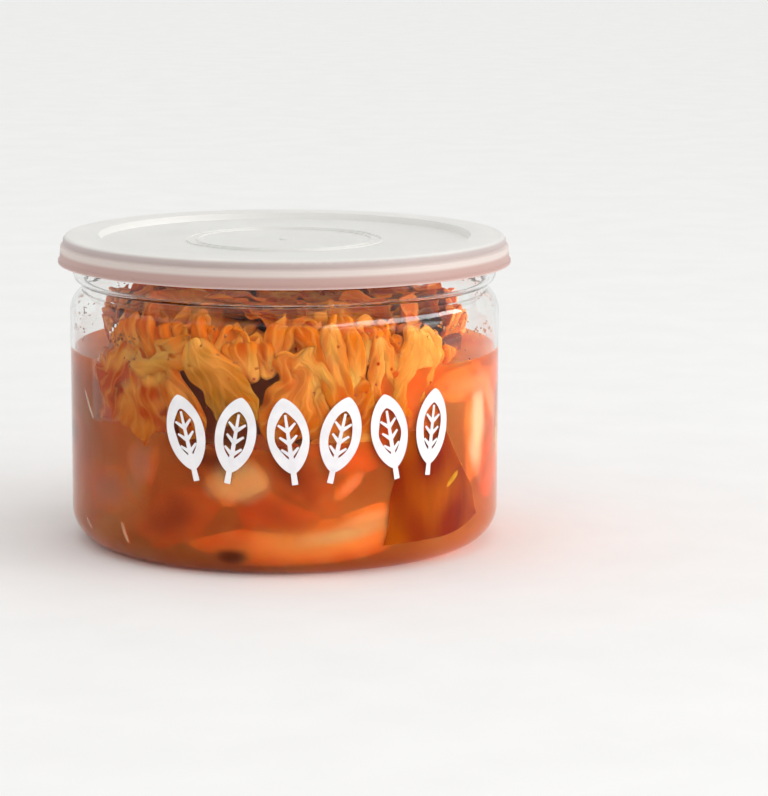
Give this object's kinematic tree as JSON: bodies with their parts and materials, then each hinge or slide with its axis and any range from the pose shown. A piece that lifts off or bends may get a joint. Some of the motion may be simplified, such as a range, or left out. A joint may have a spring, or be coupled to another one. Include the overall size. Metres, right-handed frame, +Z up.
{
  "type": "kimchi jar",
  "caption": "Squat round clear plastic jar with a translucent snap lid, filled with red-orange brine and a heap of cut pickled cabbage.",
  "frame": {"origin": "centre of the base, on the surface that the jar stands on", "axes": "+Z up along the jar's axis, +X to the jar's right and +Y to its back as seen from the printed front"},
  "size_m": [0.1074, 0.1074, 0.0727],
  "materials": {
    "clear_pet": "clear blow-moulded PET, glossy",
    "chilli_brine": "cloudy red-orange chilli brine",
    "kimchi_cabbage": "wet fermented cabbage with chilli flakes",
    "milky_polyethylene": "milky translucent moulded LDPE, satin",
    "white_ink": "flat white screen-printed ink"
  },
  "bodies": {
    "root": {"jar": "clear_pet", "brine": "chilli_brine", "kimchi": "kimchi_cabbage", "lid": "milky_polyethylene"}
  },
  "joints": []
}
